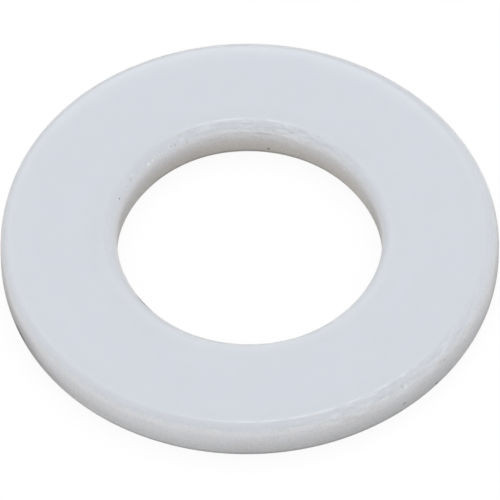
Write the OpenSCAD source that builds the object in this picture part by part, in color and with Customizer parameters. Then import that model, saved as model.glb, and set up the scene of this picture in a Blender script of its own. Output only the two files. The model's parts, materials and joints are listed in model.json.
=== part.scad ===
// Flat washer, moulded in one piece from natural nylon, for a 10 mm bolt.
// It lies flat. The origin is the centre of the bottom face and the bore runs along +Z.

/* [Ring] */
// Outside diameter, measured across the rim
outside_d = 20; // [18:0.5:30]
// Thickness, from the bottom face to the top face
thickness = 1.75; // [1.5:0.05:4]

/* [Bore] */
// Diameter of the bore that the bolt passes through
bore_d = 10.6; // [6:0.1:12]

/* [Moulded edges] */
// Radius of the rim's two edges
rim_edge_r = 0.5; // [0.1:0.05:0.7]
// Radius of the bore's two edges
bore_edge_r = 0.5; // [0.1:0.05:0.7]

/* [Hidden] */
outside_r = outside_d / 2;
bore_r = bore_d / 2;
// Width of the ring, from the wall of the bore to the rim
ring_w = outside_r - bore_r;

$fn = 180;

// What the mould's rounded edge leaves off a square corner of the section.
// The corner's point is at the origin, with the ring on its -X and -Y sides.
module edge_relief(r) {
    difference() {
        translate([-r, -r]) square(2 * r);
        translate([-r, -r]) circle(r);
    }
}

// The same relief at both ends of one wall: at the bottom face and at the top face
module wall_reliefs(r) {
    mirror([0, 1]) edge_relief(r);
    translate([0, thickness]) edge_relief(r);
}

// Half of the ring's section, with the bore's axis on the Y axis
module ring_section() {
    difference() {
        translate([bore_r, 0]) square([ring_w, thickness]);
        translate([outside_r, 0]) wall_reliefs(rim_edge_r);
        translate([bore_r, 0]) mirror([1, 0]) wall_reliefs(bore_edge_r);
    }
}

module washer() {
    color("whitesmoke") rotate_extrude() ring_section();
}

washer();
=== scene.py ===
import json
import math

import bpy
from mathutils import Matrix, Vector, kdtree, noise


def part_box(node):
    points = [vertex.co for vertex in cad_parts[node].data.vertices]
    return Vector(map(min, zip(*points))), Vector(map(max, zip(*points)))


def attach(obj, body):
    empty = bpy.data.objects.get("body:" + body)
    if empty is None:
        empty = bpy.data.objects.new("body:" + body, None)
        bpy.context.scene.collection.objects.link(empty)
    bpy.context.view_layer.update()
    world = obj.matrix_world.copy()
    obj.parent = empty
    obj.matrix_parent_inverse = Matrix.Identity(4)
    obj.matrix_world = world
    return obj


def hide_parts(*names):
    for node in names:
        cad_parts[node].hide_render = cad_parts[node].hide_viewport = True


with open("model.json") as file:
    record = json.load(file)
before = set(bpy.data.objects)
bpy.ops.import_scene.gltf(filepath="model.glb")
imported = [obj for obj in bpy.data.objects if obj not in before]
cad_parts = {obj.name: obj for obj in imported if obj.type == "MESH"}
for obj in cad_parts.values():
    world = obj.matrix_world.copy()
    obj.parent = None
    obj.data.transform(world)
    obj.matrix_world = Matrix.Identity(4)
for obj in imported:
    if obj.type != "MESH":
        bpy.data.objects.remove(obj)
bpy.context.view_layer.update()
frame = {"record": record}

# The washer: one flat ring, injection moulded in natural nylon, which sets milky white and lets a little
# light in. The mould rounds its edges and leaves a faint crease round the flat face. The upper mould half
# sat a touch to one side, so that face is not quite central. The edges are scuffed from handling.
MM = 0.001
bore_dims = next(m for m in frame["record"]["mounts"] if m["name"] == "bore")["dims"]
face_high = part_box("washer")[1].z
rim_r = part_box("washer")[1].x
bore_r = bore_dims["r_mm"] * MM
edge_w = (face_high - bore_dims["length_mm"] * MM) / 2
half_high = face_high / 2
ring_mid_r = (rim_r + bore_r) / 2
ring_w = rim_r - bore_r

TURNS = 576
ROUND_STEPS = 24
FACE_STEPS = 18
WALL_STEPS = 4
CROWDING = 0.93             # how far the rows on the face draw together near its creases
UPPER_FULLNESS = 3.85       # 2 would make a round an ellipse, and more stands its wall straighter
LOWER_FULLNESS = 4.6
SAME = 0.0005 * MM
WALL_SAG = 0.002 * MM       # the wall's points lie this near to its full radius


def pick(piece, wanted):
    """In edit mode, select the points that wanted(point) accepts."""
    bpy.ops.mesh.select_mode(type="VERT")
    bpy.ops.mesh.select_all(action="DESELECT")
    bpy.ops.object.mode_set(mode="OBJECT")
    for vertex in piece.data.vertices:
        vertex.select = wanted(vertex)
    bpy.ops.object.mode_set(mode="EDIT")


def near(a, b):
    return abs(a - b) < SAME


def eased(share):
    """0 up to 1, with a soft start and end."""
    share = min(max(share, 0), 1)
    return share * share * (3 - 2 * share)


def moulded(p):
    """Where a point of the blank's full round end belongs on the washer's section."""
    side = 1 if p.x > ring_mid_r else -1
    wall_r = rim_r if side > 0 else bore_r
    out = 1 - side * (wall_r - p.x) / half_high
    up = p.z / half_high - 1
    rise = half_high * abs(up) ** (2 / (UPPER_FULLNESS if up > 0 else LOWER_FULLNESS))
    return Vector((wall_r - side * edge_w * (1 - out), 0, half_high + math.copysign(rise, up)))


bpy.ops.object.select_all(action="DESELECT")
bpy.ops.mesh.primitive_plane_add(size=1, location=(ring_mid_r, 0, half_high), rotation=(math.pi / 2, 0, 0))
washer = bpy.context.object
washer.name = "nylon_washer"
washer.scale = (ring_w, face_high, 1)
bpy.ops.object.transform_apply(location=True, rotation=True, scale=True)
bpy.ops.object.mode_set(mode="EDIT")
bpy.ops.mesh.select_all(action="SELECT")
bpy.ops.mesh.bevel(affect="VERTICES", offset=half_high, segments=ROUND_STEPS)
bpy.ops.mesh.delete(type="ONLY_FACE")
bpy.ops.mesh.select_all(action="SELECT")
bpy.ops.mesh.remove_doubles(threshold=SAME)
bpy.ops.object.mode_set(mode="OBJECT")
for vertex in washer.data.vertices:
    vertex.co = moulded(vertex.co)
bpy.ops.object.mode_set(mode="EDIT")
for face_z in (0, face_high):
    pick(washer, lambda v: near(v.co.z, face_z))
    bpy.ops.mesh.subdivide(number_cuts=FACE_STEPS - 1)
for wall_r in (bore_r, rim_r):
    pick(washer, lambda v: abs(v.co.x - wall_r) < WALL_SAG)
    bpy.ops.mesh.subdivide(number_cuts=WALL_STEPS - 1)
bpy.ops.object.mode_set(mode="OBJECT")
inner_crease, outer_crease = bore_r + edge_w, rim_r - edge_w
for vertex in washer.data.vertices:
    p = vertex.co
    if inner_crease < p.x < outer_crease:
        along = (p.x - inner_crease) / (outer_crease - inner_crease)
        along -= CROWDING * math.sin(2 * math.pi * along) / (2 * math.pi)
        p.x = inner_crease + along * (outer_crease - inner_crease)

# Each point keeps its run in millimetres: how far down the section it lies from the upper face's crease.
# The run is below zero on the upper face, and above round_run on the lower one.
run_of = washer.data.attributes.new("run", "FLOAT", "POINT")
for low, high in ((bore_r, inner_crease), (outer_crease, rim_r)):
    row = [v for v in washer.data.vertices if low - SAME < v.co.x < high + SAME]
    row.sort(key=lambda v: (-v.co.z, -abs(v.co.x - ring_mid_r) if v.co.z < half_high else 0))
    run = 0
    for before, after in zip(row, row[1:]):
        run += (after.co - before.co).length / MM
        run_of.data[after.index].value = run
round_run = run
for vertex in washer.data.vertices:
    inside = min(vertex.co.x - inner_crease, outer_crease - vertex.co.x) / MM
    if inside > 0:
        run_of.data[vertex.index].value = -inside if vertex.co.z > half_high else round_run + inside

bpy.ops.object.modifier_add(type="SCREW")
lathe = washer.modifiers["Screw"]
lathe.angle = 2 * math.pi
lathe.steps = TURNS
lathe.render_steps = TURNS
lathe.use_merge_vertices = True
lathe.merge_threshold = SAME
bpy.ops.object.modifier_apply(modifier="Screw")
bpy.ops.object.mode_set(mode="EDIT")
bpy.ops.mesh.select_all(action="SELECT")
bpy.ops.mesh.normals_make_consistent(inside=False)
bpy.ops.object.mode_set(mode="OBJECT")

# The mould's own faults: the shifted upper face, its middle a hair sunk, and walls a hair out of round. The
# crease is sharpest, with a fine raised edge, at the front of the rim and at the back of the bore.
FACE_SHIFT = 0.125 * MM
FACE_SHIFT_DEG = 163
BORE_SHIFT = 0.030 * MM
BORE_SHIFT_DEG = 3
SINK_DEEP = 0.006 * MM
SINK_W = 1.6 * MM
RIDGE_HIGH = 0.005 * MM
RIDGE_W = 0.16 * MM
RIM_RIDGE_DEG = 286
BORE_RIDGE_DEG = 93
RIDGE_NARROW = 16           # the larger, the shorter round the washer
CREASE_SLOPE = 0.26         # fall of the round where it leaves the flat face, at its sharpest
CREASE_LEAST = 0.35         # and the share of it that is left elsewhere
WAVE_DEEP = 0.004 * MM
WAVE_LONG = 3.5 * MM
# The waves round each wall: how many, how high in millimetres, and the bearing of a crest
RIM_WAVES = ((2, 0.025, 18), (3, 0.032, -4), (5, 0.010, 1))
BORE_WAVES = ((2, 0.025, 108), (3, 0.008, -2), (4, 0.018, 0), (6, 0.012, -3))
RIM_LESS = 0.061 * MM       # how far the rim's radius falls short of the solid's
BORE_LESS = 0.027 * MM      # and the bore's


def around(degrees, reach=1.0):
    return Vector((reach * math.cos(math.radians(degrees)), reach * math.sin(math.radians(degrees)), 0))


def swell(waves, turned):
    """How far a wall with these waves stands out at this bearing."""
    return MM * sum(high * math.cos(count * (turned - math.radians(crest))) for count, high, crest in waves)


face_shift = around(FACE_SHIFT_DEG, FACE_SHIFT)
bore_shift = around(BORE_SHIFT_DEG, BORE_SHIFT)
for vertex in washer.data.vertices:
    p = vertex.co
    flat = Vector((p.x, p.y, 0))
    outward = flat.normalized()
    turned = math.atan2(p.y, p.x)
    inside = min(flat.length - inner_crease, outer_crease - flat.length)
    from_mid = (flat.length - ring_mid_r) / (ring_w / 2)
    wave = WAVE_DEEP * (0.5 + 0.5 * noise.noise(p / WAVE_LONG))
    if p.z > half_high:
        proud = eased(math.sin(turned) * (-1 if from_mid > 0 else 1))
        on_flat = 1 + min(inside, 0) / edge_w
        down_round = 1 - on_flat
        slope = CREASE_SLOPE * (CREASE_LEAST + (1 - CREASE_LEAST) * proud)
        fall = slope * edge_w * down_round * on_flat ** 2
        from_ridge = turned - math.radians(RIM_RIDGE_DEG if from_mid > 0 else BORE_RIDGE_DEG)
        ridge = RIDGE_HIGH * max(math.cos(from_ridge), 0) ** RIDGE_NARROW
        sunk = ridge * eased(inside / RIDGE_W) + (SINK_DEEP + wave) * eased(inside / SINK_W)
        vertex.co = p + face_shift * on_flat - Vector((0, 0, fall + sunk))
    on_wall = eased(-inside / edge_w) * wave
    if from_mid > 0:
        vertex.co -= outward * (from_mid * (RIM_LESS - swell(RIM_WAVES, turned)) + on_wall)
    else:
        vertex.co += outward * (from_mid * (BORE_LESS - swell(BORE_WAVES, turned)) + on_wall)
        vertex.co -= bore_shift * from_mid

# The marks of handling and of the mould, and lines of painted shade along the outline. Each is a small
# dent:
# where it is, as degrees round the washer, a radius and a height, how long it is round the washer and
# across, how deep, and its shade. Lengths are in millimetres. A shade above zero is pale, bruised nylon,
# and one below zero is dirt left in the dent; in the long lines at the left of the rim and the front of the
# bore it is painted shade.
MARKS = (
    # Front right of the rim
    (321.6, 9.903, 1.43, 0.15, 0.13, 0.016, -0.85),
    (326.5, 9.966, 1.06, 0.14, 0.13, 0.010, -0.32),
    (329.8, 9.965, 1.20, 0.20, 0.11, 0.012, -0.45),
    # A dent low at the front right, its dark shade painted shadow from under the edge.
    (318.6, 9.946, 0.44, 0.26, 0.20, 0.030, -0.80),
    (308.4, 9.939, 0.71, 0.34, 0.24, 0.008, -0.32),
    (304.8, 9.937, 0.87, 0.13, 0.11, 0.008, 0.35),
    (309.3, 9.772, 1.59, 0.08, 0.22, 0.014, 0.60),
    (308.6, 9.742, 1.62, 0.08, 0.18, 0.012, -0.22),
    (304.2, 9.768, 1.60, 0.30, 0.10, 0.014, 0.55),
    (304.4, 9.836, 1.52, 0.15, 0.11, 0.010, -0.20),
    (300.2, 9.856, 1.48, 0.17, 0.08, 0.010, -0.25),
    (305.2, 9.360, 1.75, 0.18, 0.08, 0.010, 0.45),
    (310.6, 9.380, 1.74, 0.22, 0.08, 0.010, 0.40),
    # Left of the rim low down, and the front of the bore at both sides: painted shade along the outline
    (203.6, 9.945, 0.50, 1.30, 0.40, 0.004, -1.00),
    (218.5, 5.350, 1.49, 1.40, 0.32, 0.003, -0.75),
    (331.0, 5.350, 1.49, 1.00, 0.28, 0.003, -0.50),
    # Left side of the bore
    (160.1, 5.506, 1.63, 0.10, 0.10, 0.016, -1.00),
    (152.3, 5.571, 1.66, 0.13, 0.11, 0.008, 0.35),
    (149.1, 5.518, 1.64, 0.19, 0.17, 0.010, -0.15),
    (147.1, 5.565, 1.66, 0.15, 0.13, 0.008, 0.40),
    (137.5, 5.438, 1.58, 0.16, 0.13, 0.022, 1.00),
    (134.8, 5.448, 1.59, 0.12, 0.10, 0.014, 0.70),
    (132.9, 5.507, 1.63, 0.12, 0.10, 0.010, 0.40),
    (124.6, 5.501, 1.63, 0.26, 0.20, 0.014, 0.50),
    (124.4, 5.490, 1.62, 0.14, 0.08, 0.014, -0.25),
    (122.3, 5.477, 1.61, 0.09, 0.10, 0.010, -0.25),
    (124.0, 5.347, 1.44, 0.13, 0.11, 0.010, 0.40),
    (119.4, 5.540, 1.65, 0.07, 0.24, 0.008, 0.45),
    (118.2, 5.530, 1.64, 0.07, 0.22, 0.008, 0.40),
    (118.8, 5.737, 1.72, 0.32, 0.06, 0.006, -0.18),
    (114.9, 5.740, 1.72, 0.30, 0.06, 0.006, -0.16),
    (117.1, 5.400, 1.53, 0.13, 0.09, 0.010, -0.18),
    # Back of the bore
    (91.0, 5.400, 1.52, 0.60, 0.07, 0.006, 0.50),
    (83.5, 5.352, 1.42, 1.05, 0.12, 0.008, -0.18),
    (84.4, 5.309, 1.10, 0.14, 0.10, 0.004, -0.18),
    (81.2, 5.313, 0.53, 0.15, 0.13, 0.018, -0.90),
    (79.4, 5.439, 1.58, 0.13, 0.06, 0.006, -0.20),
    (76.1, 5.661, 1.71, 0.16, 0.06, 0.006, -0.20),
    (71.4, 5.480, 1.62, 0.42, 0.06, 0.008, -0.30),
    (66.4, 5.317, 0.70, 0.24, 0.10, 0.004, -0.22),
    (60.3, 5.460, 1.60, 0.34, 0.06, 0.008, -0.30),
    (60.2, 5.645, 1.71, 0.18, 0.06, 0.006, -0.22),
    (58.2, 5.320, 0.66, 0.22, 0.14, 0.004, -0.22),
)
MARK_MARGIN = 0.06 * MM
CUTS_BY_A_MARK = 3


def point_finder():
    """A search tree of the washer's points."""
    finder = kdtree.KDTree(len(washer.data.vertices))
    for vertex in washer.data.vertices:
        finder.insert(vertex.co, vertex.index)
    finder.balance()
    return finder


def marked_points(half_long, half_wide, middle, tangent):
    """The points in a mark's oval, each with its place in it: 0 in the middle and 1 at the edge."""
    for point, index, distance in finder.find_range(middle, max(half_long, half_wide)):
        along = (point - middle).dot(tangent)
        across = math.sqrt(max(distance * distance - along * along, 0))
        edge = math.hypot(along / half_long, across / half_wide)
        if edge < 1:
            yield index, edge


marks = []
for degrees, radius, high, length, width, deep, shade in MARKS:
    middle = around(degrees, radius * MM) + Vector((0, 0, high * MM))
    marks.append((length * MM / 2, width * MM / 2, middle, around(degrees + 90), deep * MM, shade))
finder = point_finder()
by_a_mark = set()
for half_long, half_wide, middle, tangent, deep, shade in marks:
    wider = marked_points(half_long + MARK_MARGIN, half_wide + MARK_MARGIN, middle, tangent)
    by_a_mark.update(index for index, edge in wider)
bpy.ops.object.mode_set(mode="EDIT")
pick(washer, lambda v: v.index in by_a_mark)
bpy.ops.mesh.subdivide(number_cuts=CUTS_BY_A_MARK, smoothness=1)
bpy.ops.object.mode_set(mode="OBJECT")

# A dent is deepest in its middle and runs out smoothly, and its shade is full over the inner half.
shade_of = washer.data.attributes.new("shade", "FLOAT", "POINT")
normals = [vertex.normal.copy() for vertex in washer.data.vertices]
finder = point_finder()
for half_long, half_wide, middle, tangent, deep, shade in marks:
    for index, edge in marked_points(half_long, half_wide, middle, tangent):
        washer.data.vertices[index].co -= normals[index] * deep * (1 - edge * edge) ** 2
        shade_of.data[index].value = shade * eased((1 - edge) * 2)
for vertex in washer.data.vertices:
    vertex.co.z = min(vertex.co.z, face_high)
bpy.ops.object.shade_smooth()

# The nylon: bluish white on the moulded faces, partly painted cool light. Painted shade makes the scuffed
# rounds greyer by the crease and the walls darker down to the foot, warmer in the bore; painted light makes
# the shoulder lighter. Fine rings from the turned mould show on the rounds, and a painted highlight lies
# along the crease in places.
FACE_TINT = (0.627, 0.655, 0.706, 1)
# Painted shade by the crease.
CREASE_SHADE_TINT = (0.568, 0.591, 0.628, 1)
# Painted light on the shoulder.
SHOULDER_LIGHT_TINT = (0.689, 0.695, 0.720, 1)
# Painted shade down the rim's wall; the same colour also lays a faint mottling everywhere.
WALL_SHADE_AND_MOTTLE_TINT = (0.596, 0.595, 0.601, 1)
# Painted shade in the bore: darker and warmer down its wall.
BORE_WARM_SHADE_TINT = (0.636, 0.601, 0.561, 1)
# Pale nylon of scuffs, rings, grain and chips, also laid on as a painted highlight and painted light.
PALE_WEAR_AND_HIGHLIGHT_TINT = (0.80, 0.82, 0.84, 1)
# Dirt of grain, rings and dents, also laid on as painted shade at the ends, the foot and the outline.
DIRT_AND_SHADE_TINT = (0.16, 0.155, 0.15, 1)
NYLON_IOR = 1.53
SHEEN = 0.12                # a quarter of what a polished face would mirror
LIGHT_REACH = 1.5 * MM

nylon = bpy.data.materials.new("natural_nylon")
nylon.use_nodes = True
tree = nylon.node_tree
shader = tree.nodes["Principled BSDF"]


def node(kind, settings, *values):
    """Add a node to the nylon. Each value is linked if it is a socket, and set if it is not."""
    made = tree.nodes.new(kind)
    for name, value in settings.items():
        setattr(made, name, value)
    for slot, value in zip(made.inputs, values):
        if isinstance(value, bpy.types.NodeSocket):
            tree.links.new(value, slot)
        else:
            slot.default_value = value
    return made


def maths(operation, *values):
    return node("ShaderNodeMath", {"operation": operation}, *values).outputs[0]


def larger(first, second):
    return maths("MAXIMUM", first, second)


def times(*values):
    product = values[0]
    for value in values[1:]:
        product = maths("MULTIPLY", product, value)
    return product


def fade(value, start, end):
    """0 where the value is at start or before it, 1 where it is at end or past it."""
    return node("ShaderNodeMapRange", {"interpolation_type": "SMOOTHSTEP"}, value, start, end).outputs[0]


def speckle(where, per_mm, detail=2.0):
    """Soft noise, about 0.5 in the middle, with so many grains to the millimetre."""
    grain = node("ShaderNodeTexNoise", {}, where)
    grain.inputs["Scale"].default_value = per_mm
    grain.inputs["Detail"].default_value = detail
    return grain.outputs["Fac"]


def tinted(below, tint, share):
    """Lay this share of a tint over the colour below."""
    mix = tree.nodes.new("ShaderNodeMix")
    mix.data_type = "RGBA"
    for name, value in (("A", below), ("B", tint)):
        slot = next(s for s in mix.inputs if s.name == name and s.type == "RGBA")
        if isinstance(value, bpy.types.NodeSocket):
            tree.links.new(value, slot)
        else:
            slot.default_value = value
    tree.links.new(share, mix.inputs[0])
    return next(s for s in mix.outputs if s.type == "RGBA")


run = node("ShaderNodeAttribute", {"attribute_name": "run"}).outputs["Fac"]
shade = node("ShaderNodeAttribute", {"attribute_name": "shade"}).outputs["Fac"]
place = node("ShaderNodeTexCoord", {}).outputs["Object"]
place = node("ShaderNodeVectorMath", {"operation": "SCALE"}, place).outputs[0]
place.node.inputs["Scale"].default_value = 1 / MM
level = node("ShaderNodeVectorMath", {"operation": "MULTIPLY"}, place, (1, 1, 0)).outputs[0]
radius = node("ShaderNodeVectorMath", {"operation": "LENGTH"}, level).outputs["Value"]
in_bore = maths("LESS_THAN", radius, ring_mid_r / MM)
on_rim = maths("SUBTRACT", 1.0, in_bore)
bearing = node("ShaderNodeVectorMath", {"operation": "NORMALIZE"}, level).outputs[0]


def toward(degrees, reach):
    """1 at this bearing from the washer's middle, and 0 from reach degrees to either side of it."""
    dot = node("ShaderNodeVectorMath", {"operation": "DOT_PRODUCT"}, bearing, around(degrees))
    return fade(dot.outputs["Value"], math.cos(math.radians(reach)), 1.0)


def band(middle, half_width):
    """1 on the ring that lies at this run, and 0 from half_width to either side of it."""
    return fade(maths("ABSOLUTE", maths("SUBTRACT", run, middle)), half_width, 0.0)


# Fine rings: noise that is short down the section and long round it. Both they and the scuffs keep to the
# upper round and the top of the wall, and show most on some stretches of it.
ringwise = node("ShaderNodeCombineXYZ", {}, 0.0, 0.0, maths("MULTIPLY", run, 9.0)).outputs[0]
slow = node("ShaderNodeVectorMath", {"operation": "MULTIPLY"}, place, (1.5, 1.5, 1.5)).outputs[0]
rings = speckle(node("ShaderNodeVectorMath", {"operation": "ADD"}, ringwise, slow).outputs[0], 1.0)
on_round = times(fade(run, 0.0, 0.1), fade(run, 1.2, 0.8))
ringed = larger(times(in_bore, toward(80, 50)), larger(times(on_rim, toward(308, 45)), 0.15))
ring_share = times(on_round, ringed)
scuffs = speckle(place, 9.0, 4.0)
scuffed_bore = times(in_bore, larger(toward(132, 30), toward(45, 25)))
scuff_share = times(on_round, larger(scuffed_bore, times(on_rim, toward(306, 30))))

# Places on the ring: the sharp part of the crease, where a painted highlight lies on it, the back of the
# rim, and the ends, which get the most painted shade, most of all low down at the left.
EVERYWHERE = 1.0
creased = larger(times(in_bore, toward(90, 75)), times(on_rim, toward(270, 75)))
# Painted highlight along the crease at the back of the bore and the front of the rim.
crease_highlight = times(band(0.0, 0.07), larger(times(in_bore, toward(93, 30)), times(on_rim, toward(287, 38))))
pale_line = times(band(0.42, 0.06), on_rim, toward(285, 45))
rim_front = times(on_rim, toward(250, 20))
rim_back = times(on_rim, toward(90, 80))
rim_ends = times(on_rim, larger(times(toward(0, 30), 0.65), toward(194, 34)))
rim_tips = times(on_rim, larger(toward(0, 16), toward(182, 18)))
rim_left = times(on_rim, toward(202, 12))
bore_ends = times(in_bore, larger(toward(5, 28), toward(175, 22)))
bore_front = times(in_bore, toward(255, 75))

# The tints, painted light and painted shade, in the order they are laid on: each with the run at which it
# starts and the one at which it is full, its place, and its share there.
# Painted shade: the face darkens towards the crease, except at the back of the rim, and the round is greyer
# just past it, most where the crease is sharpest.
face_edge_shade = times(fade(run, -1.0, 0.1), maths("MULTIPLY_ADD", rim_back, -0.35, 0.35))
crease_shade = times(fade(run, -0.05, 0.15), maths("MULTIPLY_ADD", creased, 0.25, 0.40))
colour = tinted(FACE_TINT, CREASE_SHADE_TINT, maths("ADD", face_edge_shade, crease_shade))
LAYERS = (
    # Painted light: lighter from the shoulder down, until the walls' painted shade takes over.
    (SHOULDER_LIGHT_TINT, 0.28, 0.60, EVERYWHERE, 1.00),
    # Painted shade: the rim's wall darker down to its foot.
    (WALL_SHADE_AND_MOTTLE_TINT, 0.85, 1.70, on_rim, 1.00),
    # Painted light: the rim's wall paler where it faces the front left.
    (PALE_WEAR_AND_HIGHLIGHT_TINT, 0.60, 1.00, rim_front, 0.16),
    # Painted shade: the bore's wall darker and warmer down to its foot.
    (BORE_WARM_SHADE_TINT, 0.38, 1.70, in_bore, 1.00),
    # Painted shade: the rim's ends, tips and left, the back of its round, and the bore's ends and front.
    (DIRT_AND_SHADE_TINT, 0.55, 1.20, rim_ends, 0.22),
    (DIRT_AND_SHADE_TINT, 0.40, 0.80, rim_tips, 0.32),
    (DIRT_AND_SHADE_TINT, 0.60, 1.10, rim_left, 0.24),
    (DIRT_AND_SHADE_TINT, -0.02, 0.18, rim_back, 0.18),
    (DIRT_AND_SHADE_TINT, 0.56, 0.95, bore_ends, 0.25),
    (DIRT_AND_SHADE_TINT, 0.12, 0.32, bore_front, 0.16),
    (FACE_TINT, round_run - 0.3, round_run + 0.1, EVERYWHERE, 1.00),
)
for tint, start, full, where, share in LAYERS:
    colour = tinted(colour, tint, times(fade(run, start, full), where, share))

# What is broken up by noise: the same, but with the noise in place of the run.
grain = speckle(place, 11.0, 3.0)
SPECKLED = (
    # Painted highlight along the crease, broken up by noise.
    (PALE_WEAR_AND_HIGHLIGHT_TINT, speckle(place, 1.6), 0.30, 0.55, crease_highlight, 0.45),
    (PALE_WEAR_AND_HIGHLIGHT_TINT, speckle(place, 2.2), 0.45, 0.60, pale_line, 0.22),
    (PALE_WEAR_AND_HIGHLIGHT_TINT, scuffs, 0.60, 0.72, scuff_share, 0.25),
    (DIRT_AND_SHADE_TINT, rings, 0.54, 0.68, ring_share, 0.10),
    (PALE_WEAR_AND_HIGHLIGHT_TINT, rings, 0.46, 0.32, ring_share, 0.28),
    (DIRT_AND_SHADE_TINT, grain, 0.46, 0.74, fade(run, 0.0, 0.8), 0.11),
    (PALE_WEAR_AND_HIGHLIGHT_TINT, grain, 0.50, 0.30, fade(run, 0.0, 0.4), 0.14),
)
for tint, speck, start, full, where, share in SPECKLED:
    colour = tinted(colour, tint, times(fade(speck, start, full), where, share))

# The foot of the walls, down to the lower face, darkened with painted shade, more in the bore and most at
# the rim's ends. Then a faint mottling, and the shades of the marks.
low_edge = fade(run, round_run, round_run - 0.2)
foot_share = maths("MULTIPLY_ADD", in_bore, 0.08, 0.42)
# Painted shade: the contact shadow along the foot of each wall, and up the rim's ends.
foot = times(fade(run, 1.57, 1.74), maths("MULTIPLY_ADD", rim_ends, 0.50, foot_share))
end_foot = times(rim_ends, fade(run, 1.15, 1.50), 0.48)
colour = tinted(colour, DIRT_AND_SHADE_TINT, times(low_edge, larger(foot, end_foot)))
colour = tinted(colour, WALL_SHADE_AND_MOTTLE_TINT, times(fade(speckle(place, 0.9, 3.0), 0.45, 0.7), 0.10))
colour = tinted(colour, PALE_WEAR_AND_HIGHLIGHT_TINT, larger(shade, 0.0))
colour = tinted(colour, DIRT_AND_SHADE_TINT, larger(times(shade, -1.0), 0.0))
tree.links.new(colour, shader.inputs["Base Color"])

# The gloss: a base, patchy all over, and duller in the marks and on the scuffs.
ROUGHNESS = 0.36
PATCHES_ROUGHER = 0.10
MARKS_ROUGHER = 0.25
SCUFFS_ROUGHER = 0.12
gloss = maths("ADD", ROUGHNESS, times(speckle(place, 1.2, 3.0), PATCHES_ROUGHER))
gloss = maths("ADD", gloss, times(maths("ABSOLUTE", shade), MARKS_ROUGHER))
gloss = maths("ADD", gloss, times(scuff_share, SCUFFS_ROUGHER))
tree.links.new(gloss, shader.inputs["Roughness"])

# What is too fine for the mesh, as heights in millimetres: a slight unevenness, the rings and the scuffs.
UNEVEN_HIGH = 0.0006
RINGS_HIGH = 0.012
SCUFFS_HIGH = 0.012
relief = times(speckle(place, 3.0, 2.0), UNEVEN_HIGH)
relief = maths("ADD", relief, times(ring_share, rings, RINGS_HIGH))
relief = maths("ADD", relief, times(scuff_share, scuffs, SCUFFS_HIGH))
bump = tree.nodes.new("ShaderNodeBump")
bump.inputs["Distance"].default_value = MM
tree.links.new(relief, bump.inputs["Height"])
tree.links.new(bump.outputs["Normal"], shader.inputs["Normal"])

shader.inputs["IOR"].default_value = NYLON_IOR
shader.inputs["Specular IOR Level"].default_value = SHEEN
shader.inputs["Subsurface Weight"].default_value = 1.0
shader.inputs["Subsurface Scale"].default_value = LIGHT_REACH
shader.inputs["Subsurface Radius"].default_value = (1.0, 0.95, 0.9)
washer.data.materials.append(nylon)
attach(washer, "root")
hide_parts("washer")

# The floor: a plain pale sheet. The camera, and what mirrors or lets through, sees it white, and a part of
# its own shading is kept so that the washer's shadow shows on it.
FLOOR_W = 6
FLOOR_TINT = (0.50, 0.50, 0.50, 1)
FLOOR_WHITE_SHARE = 0.93


def seen_directly(nodes, links):
    """1 for the rays that see a background: from the camera, off a gloss or through glass."""
    rays = nodes.new("ShaderNodeLightPath")
    total = rays.outputs["Is Camera Ray"]
    for name in ("Is Glossy Ray", "Is Transmission Ray"):
        either = nodes.new("ShaderNodeMath")
        either.operation = "MAXIMUM"
        links.new(total, either.inputs[0])
        links.new(rays.outputs[name], either.inputs[1])
        total = either.outputs["Value"]
    return total


bpy.ops.object.select_all(action="DESELECT")
bpy.ops.mesh.primitive_plane_add(size=FLOOR_W, location=(0, 0, 0))
floor = bpy.context.object
floor.name = "floor"
paper = bpy.data.materials.new("white_floor")
paper.use_nodes = True
nodes, links = paper.node_tree.nodes, paper.node_tree.links
nodes.clear()
output = nodes.new("ShaderNodeOutputMaterial")
lit = nodes.new("ShaderNodeBsdfDiffuse")
lit.inputs["Color"].default_value = FLOOR_TINT
seen_lit = nodes.new("ShaderNodeBsdfDiffuse")
seen_lit.inputs["Color"].default_value = (1, 1, 1, 1)
white = nodes.new("ShaderNodeEmission")
white.inputs["Strength"].default_value = 1
seen = nodes.new("ShaderNodeMixShader")
seen.inputs["Fac"].default_value = FLOOR_WHITE_SHARE
links.new(seen_lit.outputs["BSDF"], seen.inputs[1])
links.new(white.outputs["Emission"], seen.inputs[2])
choose = nodes.new("ShaderNodeMixShader")
links.new(seen_directly(nodes, links), choose.inputs["Fac"])
links.new(lit.outputs["BSDF"], choose.inputs[1])
links.new(seen.outputs["Shader"], choose.inputs[2])
links.new(choose.outputs["Shader"], output.inputs["Surface"])
floor.data.materials.append(paper)

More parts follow.
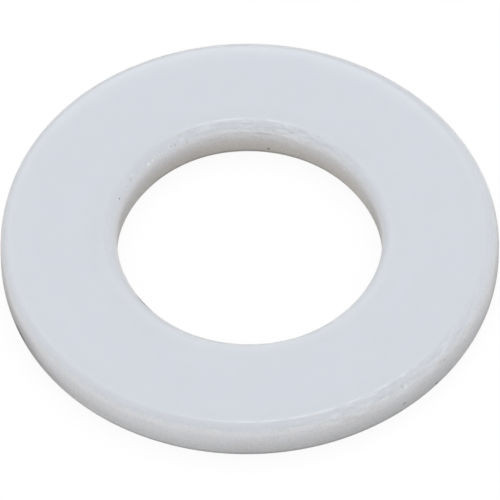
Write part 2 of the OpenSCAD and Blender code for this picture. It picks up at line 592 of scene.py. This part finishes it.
# The light: an even pale room and three large, round soft boxes. One is nearly overhead, one stands behind
# on the right, and one stands low down in front.
ROOM_STRENGTH = 0.645
BOX_REACH = 1.2
BOX_W = 0.9
world = bpy.data.worlds.new("studio")
bpy.context.scene.world = world
world.use_nodes = True
nodes, links = world.node_tree.nodes, world.node_tree.links
background = nodes["Background"]
background.inputs["Color"].default_value = (1, 1, 1, 1)
strength = nodes.new("ShaderNodeMix")
strength.data_type = "FLOAT"
strength.inputs["A"].default_value = ROOM_STRENGTH
strength.inputs["B"].default_value = 1
links.new(seen_directly(nodes, links), strength.inputs["Factor"])
links.new(strength.outputs["Result"], background.inputs["Strength"])


def soft_box(name, direction, watts):
    """A soft box that stands in this direction and faces the washer."""
    stand = Vector(direction).normalized() * BOX_REACH
    bpy.ops.object.light_add(type="AREA", location=stand)
    box = bpy.context.object
    box.name = name
    box.rotation_euler = stand.to_track_quat("Z", "Y").to_euler()
    box.data.shape = "DISK"
    box.data.size = BOX_W
    box.data.energy = watts
    box.visible_camera = False


soft_box("top_box", (0, 0.36, 1), 5.1)
soft_box("back_box", (0.71, 0.71, 1), 1.9)
soft_box("front_box", (-0.33, -0.91, 0.26), 3.3)

# The camera stands a little over half a metre off and looks down on the washer as the photograph does. The
# washer's middle lies a pixel or so left of the picture's, and three above it.
CAMERA_HEIGHT_DEG = 52.42
CAMERA_REACH = 55.32 * rim_r
CAMERA_ROLL_DEG = -0.293
RIM_R_IN_PICTURE = 250.2
PICTURE_W = 500
PIXEL = rim_r / RIM_R_IN_PICTURE
AIM_RIGHT = 1.25 * PIXEL
AIM_DOWN = 3.05 * PIXEL
height = math.radians(CAMERA_HEIGHT_DEG)
towards = Vector((0, -math.cos(height), math.sin(height)))
upward = Vector((0, math.sin(height), math.cos(height)))
aim = Vector((AIM_RIGHT, 0, half_high)) - upward * AIM_DOWN
bpy.ops.object.camera_add(location=aim + towards * CAMERA_REACH)
camera = bpy.context.object
camera.name = "camera"
turn = towards.to_track_quat("Z", "Y").to_matrix()
camera.rotation_euler = (turn @ Matrix.Rotation(math.radians(CAMERA_ROLL_DEG), 3, "Z")).to_euler()
camera.data.lens = CAMERA_REACH / rim_r * RIM_R_IN_PICTURE / PICTURE_W * camera.data.sensor_width
camera.data.clip_start = 0.05
camera.data.clip_end = 20
bpy.context.scene.camera = camera

bpy.context.scene.view_settings.view_transform = "Standard"
bpy.context.view_layer.update()
